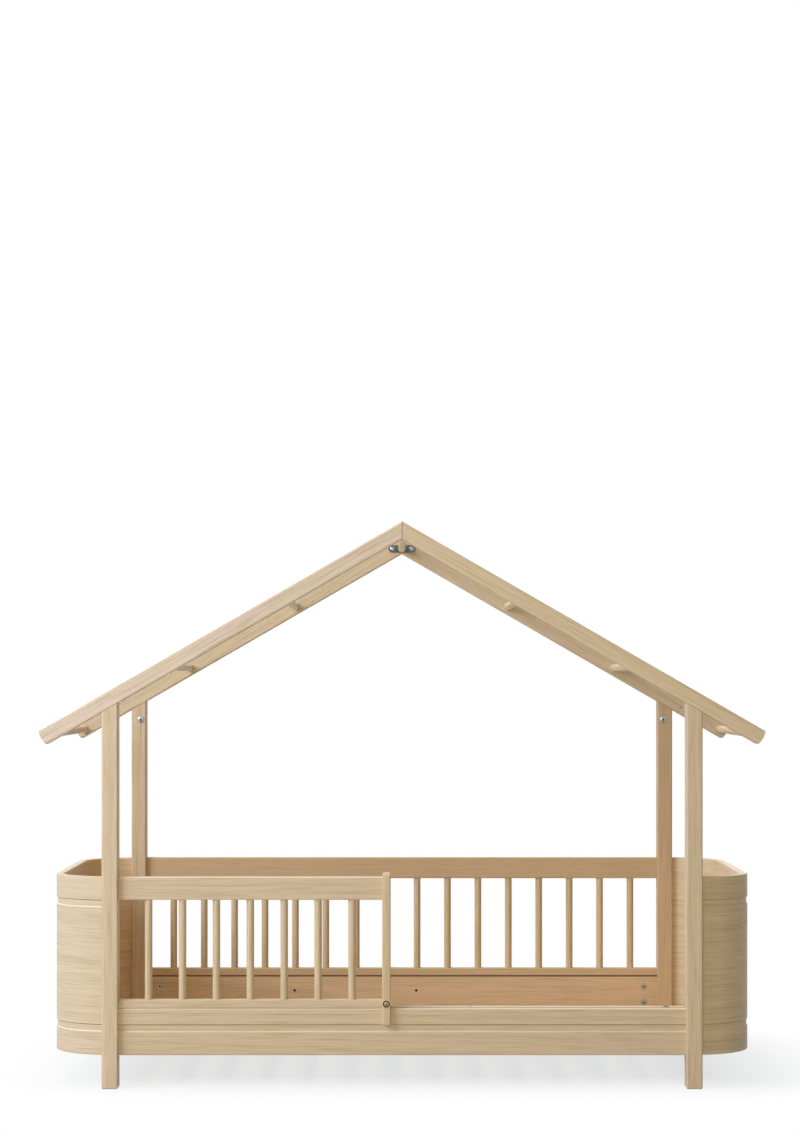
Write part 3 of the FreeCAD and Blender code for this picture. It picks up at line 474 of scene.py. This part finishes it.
def wood(node, timber):
    """One sawn piece: growth rings about a pith outside it, streaks, short open pores, its tint of painted
    light and shade, and its marks.
    """
    name = f"{node}_{timber.name}"
    chance = random.Random(name)
    tones = Nodes(bpy.data.materials.new(name))
    angles = grain_turns[grain_of(node)]
    centre = turned(middle(node), angles)
    pith = round_stick_pith if "spindle" in node or "rod" in node else timber.pith
    direction = chance.uniform(0, 2 * math.pi)
    away = pith * chance.uniform(*pith_share)
    forward = chance.uniform(-forward_most, forward_most)
    shift = (forward, away * math.cos(direction) - centre.y, away * math.sin(direction) - centre.z)
    coordinates = tones.place()
    place = tones.mapped(coordinates, angles, shift)
    x, y, z = tones.split(place)
    along = tones.math("SUBTRACT", x, centre.x + forward)
    across_y = tones.math("MULTIPLY_ADD", along, chance.uniform(-lean_most, lean_most), y)
    across_z = tones.math("MULTIPLY_ADD", along, chance.uniform(-lean_most, lean_most), z)
    radius = tones.vector("LENGTH", tones.join(0.0, across_y, across_z))
    darkness, roughness, normal = grained(tones, sawn, place, radius, timber.figure)
    tone = chance.uniform(*tone_range)
    warmth = chance.uniform(*tone_range)
    # the piece's tint of painted light and shade
    light_tint = next((light_tint for start, light_tint in piece_light_tints if node.startswith(start)), no_tint)
    cloud = tones.spread(tones.noise(place, cloud_waves), *cloud_levels)
    colour = tones.mix(cloud, times(timber.base, pink_cast), times(timber.base, olive_cast))
    colour = tones.mix(1.0, colour, times(light_tint, (tone, tone, tone * warmth)), "MULTIPLY")
    colour = tones.with_marks(tones.mix(darkness, colour, timber.dark), coordinates, marks_of.get(node, ()))
    tones.principled(colour, roughness, normal, specular=sawn.specular)
    return tones.owner


# ------------------------------------------------------------------ moulded plywood
# A painted line along a groove, the highlight on its lower edge and the shade below its upper edge: its
# height above the groove's edge, how far off it starts to fade and is gone, its strength and its colour.
Line = namedtuple("Line", "offset inside outside strength stain")

shell_light_tints = {                 # outer face, inner face, tints of painted light and shade: the left shell darker outside where the key lamp hits and warmer inside, the right shell less blue outside and paler inside
    "end_shell_left": ((0.91, 0.895, 0.865), (1.06, 0.94, 0.78)),
    "end_shell_right": ((1.02, 1.01, 0.93), (1.06, 1.04, 1.00)),
}
groove_lows = (groove_low, upper_groove_low)
highlight_line = Line(0.0006, 0.0010, 0.0020, 0.75, highlight_pale)             # painted highlight on a groove's lower edge
shaded_line = Line(-shade_drop, 0.0008, 0.0018, 0.40, seam_and_shade_brown)     # painted shade below its upper edge
outer_skin = (0.20, 0.35)       # depths, of the wall's thickness, over which the grooves' lines fade
wall_core = (0.40, 0.60)        # depths over which the outer tint turns into the inner one
ply_sides = (0.25, 0.75)        # share of a ply over which pale turns into brown
levelness = (0.80, 0.95)        # how level a face is where the plies start to show, and show fully
speckle_waves = 240.0
speckle_share = 0.16            # how much the speckle and every other ply turn the plies brown
ply_share = 0.22
veneer_shifts = (3, 30)         # metres by which a shell's grain may be shifted upwards


def wall_depth(tones, coordinates):
    """How deep a point lies in a shell's wall: 0 at its outer face, 1 at its inner face."""
    x, y, _ = tones.split(coordinates)
    past_x = tones.math("SUBTRACT", tones.math("ABSOLUTE", x), half_length - shell_corner)
    past_y = tones.math("SUBTRACT", tones.math("ABSOLUTE", y), half_width - shell_corner)
    past_x = tones.math("MAXIMUM", past_x, 0.0)
    past_y = tones.math("MAXIMUM", past_y, 0.0)
    reach = tones.vector("LENGTH", tones.join(past_x, past_y, 0.0))
    return tones.math("DIVIDE", tones.math("SUBTRACT", shell_corner, reach), shell_thickness)


def groove_lines(tones, face, coordinates, depth):
    """Both grooved bands' painted highlights on their lower edges and painted shade below their upper
    edges, on the outer face only.
    """
    height = tones.split(coordinates)[2]
    outer = tones.spread(depth, *outer_skin, 1.0, 0.0)
    for low in groove_lows:
        for edge, line in ((low, highlight_line), (low + groove_width, shaded_line)):
            off = tones.math("ABSOLUTE", tones.math("SUBTRACT", height, edge + line.offset))
            shown = tones.spread(off, line.inside, line.outside, line.strength, 0.0)
            face = tones.mix(tones.math("MULTIPLY", shown, outer), face, line.stain)
    return face


def ply_edges(tones, coordinates, depth):
    """The plies where the wall is cut across, pale and brown by turns."""
    ply = tones.math("PINGPONG", tones.math("MULTIPLY", depth, ply_count), 1.0)
    brown_ply = tones.spread(ply, *ply_sides)
    speckle = tones.noise(coordinates, speckle_waves)
    brownness = tones.total(((speckle, speckle_share), (brown_ply, ply_share)))
    return tones.mix(brownness, ply_pale, ply_brown)


def veneer(node):
    """Moulded plywood: level veneer grain on both faces with painted light and shade, plies showing on the
    rim, underside and ends.
    """
    name = node + "_veneer"
    chance = random.Random(name)
    tones = Nodes(bpy.data.materials.new(name))
    coordinates = tones.place()
    place = tones.mapped(coordinates, (0.0, 0.0, 0.0), (0.0, 0.0, chance.uniform(*veneer_shifts)))
    darkness, roughness, normal = grained(tones, moulded, place, tones.split(place)[2])
    depth = wall_depth(tones, coordinates)
    # painted light and shade, turning from the outer face's tint to the inner face's
    side_light_tint = tones.mix(tones.spread(depth, *wall_core), *shell_light_tints[node])
    face = tones.mix(1.0, tones.mix(darkness, veneer_oak, oak_dark), side_light_tint, "MULTIPLY")
    face = groove_lines(tones, face, coordinates, depth)
    facing = tones.split(tones.add("ShaderNodeNewGeometry").outputs["Normal"])[2]
    cut_across = tones.spread(tones.math("ABSOLUTE", facing), *levelness)
    colour = tones.mix(cut_across, face, ply_edges(tones, coordinates, depth))
    tones.principled(colour, roughness, normal, specular=moulded.specular)
    return tones.owner


# ------------------------------------------------------------------ metal
Plating = namedtuple("Plating", "name light shadow roughness")

screw_zinc = Plating("zinc", (0.38, 0.41, 0.42), (0.23, 0.26, 0.28), 0.30)
cam_zinc = Plating("zinc", (0.50, 0.52, 0.50), (0.37, 0.39, 0.39), 0.32)
bolt_zinc = Plating("zinc", (0.44, 0.46, 0.44), (0.30, 0.32, 0.31), 0.34)
dark_steel = Plating("steel", (0.085, 0.096, 0.091), (0.058, 0.067, 0.065), 0.42)
bronze = Plating("bronze", (0.56, 0.43, 0.29), (0.40, 0.29, 0.18), 0.36)
plating_of = {
    "cam_bolts": screw_zinc,
    "wood_screws": screw_zinc,
    "cam_locks": cam_zinc,
    "threaded_inserts": cam_zinc,
    "roof_bolts": bolt_zinc,
    "ridge_plates": dark_steel,
    "guard_clamp_bolt": bronze,
    "guard_clamp_nut": bronze,
}
drift_waves = 160.0
drift_levels = (0.35, 0.65)
scratch_waves = (2600.0, 700.0, 900.0)
scratch_levels = (0.3, 0.7)
smoother = 0.06                 # how far the scratches move the roughness down and up
rougher = 0.10
metal_bump = (0.12, 0.00008)


def metal(node, plating):
    """Plated steel: faint colour drift of the plating, fine scratches and painted shade in its sockets,
    slots and bores.
    """
    tones = Nodes(bpy.data.materials.new(f"{node}_{plating.name}"))
    coordinates = tones.place()
    drift = tones.spread(tones.noise(coordinates, drift_waves, 3.0), *drift_levels)
    colour = tones.mix(drift, plating.light, plating.shadow)
    colour = tones.with_marks(colour, coordinates, marks_of.get(node, ()))
    scratches = tones.noise(coordinates, scratch_waves)
    smoothest = plating.roughness - smoother
    roughest = plating.roughness + rougher
    roughness = tones.spread(scratches, *scratch_levels, smoothest, roughest)
    tones.principled(colour, roughness, tones.bump(scratches, *metal_bump), metallic=1.0)
    return tones.owner


# ------------------------------------------------------------------ dress each node
def finish_of(node):
    if node in shell_light_tints:
        return veneer(node)
    if node in plating_of:
        return metal(node, plating_of[node])
    return wood(node, timber_of.get(node, oak))


for node_name, node_object in sorted(frame["nodes"].items()):
    material = finish_of(node_name)
    slots = node_object.data.materials
    if len(slots) == 0:
        slots.append(material)
    for index in range(len(slots)):
        slots[index] = material

# ------------------------------------------------------------------ floor, light and camera
floor_reach = 30.0
floor_bounce = (0.72, 0.68, 0.62)
floor_seen = (0.2, 0.2, 0.2)            # the part of the seen floor that takes light and shadow
floor_glow = (0.694, 0.706, 0.718)      # the part that doesn't
shade_middle = (0.06, 0.12, 0.0)        # the painted shade patch below and behind the bed, where the object's real shadow also shows
shade_halves = (0.66, 0.30, 0.0)
shade_fade = 0.40                       # beyond it the floor runs into the white backdrop
fill_strength = 0.06
fill_colour = (1.0, 0.90, 0.72)
lamp_target = (0.0, 0.0, 0.6)
lamps = (                               # name, place, width, height, watts, colour
    ("key", (-4.2, -2.9, 3.0), 3.0, 2.6, 216.0, (0.88, 1.0, 1.15)),
    ("top", (-1.3, 0.3, 4.7), 3.0, 3.0, 116.0, (1.10, 1.0, 0.78)),
    ("front", (0.0, -6.0, 1.6), 3.6, 2.4, 72.0, (1.12, 1.0, 0.70)),
    ("rear", (1.6, 6.0, 2.6), 3.0, 2.4, 36.0, (1.0, 0.97, 0.90)),
)
eye_place = (-0.005, -7.07, 0.961)
eye_lens = 89.1
eye_sensor = 36.0
eye_shift = 0.104
eye_reach = 200.0


def studio_floor():
    """A white floor that the camera sees as the white backdrop; below and behind the bed it glows less, a
    painted shade patch that also takes the object's real shadow.
    """
    mesh = bpy.data.meshes.new("studio_floor")
    far = floor_reach
    corners = [(-far, -far, 0), (far, -far, 0), (far, far, 0), (-far, far, 0)]
    mesh.from_pydata(corners, [], [(0, 1, 2, 3)])
    floor = bpy.data.objects.new("studio_floor", mesh)
    bpy.context.scene.collection.objects.link(floor)
    tones = Nodes(bpy.data.materials.new("studio_floor"))
    bounce = tones.shader("ShaderNodeBsdfDiffuse", floor_bounce)
    seen = tones.shader("ShaderNodeBsdfDiffuse", floor_seen)
    shaded = tones.sum_of(seen, tones.shader("ShaderNodeEmission", floor_glow))
    reach = tones.vector("ABSOLUTE", tones.vector("SUBTRACT", tones.place(), shade_middle))
    outside = tones.vector("SUBTRACT", reach, shade_halves)
    distance = tones.vector("LENGTH", tones.vector("MAXIMUM", outside, (0.0, 0.0, 0.0)))
    fade = tones.spread(distance, 0.0, shade_fade)
    faded = tones.blend_of(fade, shaded, tones.shader("ShaderNodeEmission", pure_white))
    tones.cover(tones.blend_of(tones.seen_directly(), bounce, faded))
    mesh.materials.append(tones.owner)


def studio_world():
    """White where it is seen directly or in a gloss, and a faint warm fill elsewhere."""
    tones = Nodes(bpy.data.worlds.new("studio_world"), "ShaderNodeOutputWorld")
    seen = tones.seen_directly()
    background = tones.add("ShaderNodeBackground")
    tones.feed(background.inputs["Color"], tones.mix(seen, fill_colour, pure_white))
    tones.feed(background.inputs["Strength"], tones.spread(seen, 0.0, 1.0, fill_strength, 1.0))
    tones.cover(background.outputs[0])
    bpy.context.scene.world = tones.owner


def area_light(name, place, width, height, watts, colour):
    lamp = bpy.data.lights.new(name, "AREA")
    lamp.shape = "RECTANGLE"
    lamp.size = width
    lamp.size_y = height
    lamp.energy = watts
    lamp.color = colour
    holder = bpy.data.objects.new(name, lamp)
    bpy.context.scene.collection.objects.link(holder)
    holder.location = place
    holder.rotation_euler = (Vector(lamp_target) - Vector(place)).to_track_quat("-Z", "Y").to_euler()


def camera():
    """Looking level along +Y at the open front, from near the middle of the bed."""
    eye = bpy.data.cameras.new("camera")
    eye.lens = eye_lens
    eye.sensor_width = eye_sensor
    eye.shift_y = eye_shift
    eye.clip_end = eye_reach
    holder = bpy.data.objects.new("camera", eye)
    bpy.context.scene.collection.objects.link(holder)
    holder.location = eye_place
    holder.rotation_euler = (math.pi / 2, 0, 0)
    bpy.context.scene.camera = holder


studio_floor()
studio_world()
for lamp_facts in lamps:
    area_light(*lamp_facts)
camera()
bpy.context.scene.view_settings.view_transform = "Standard"
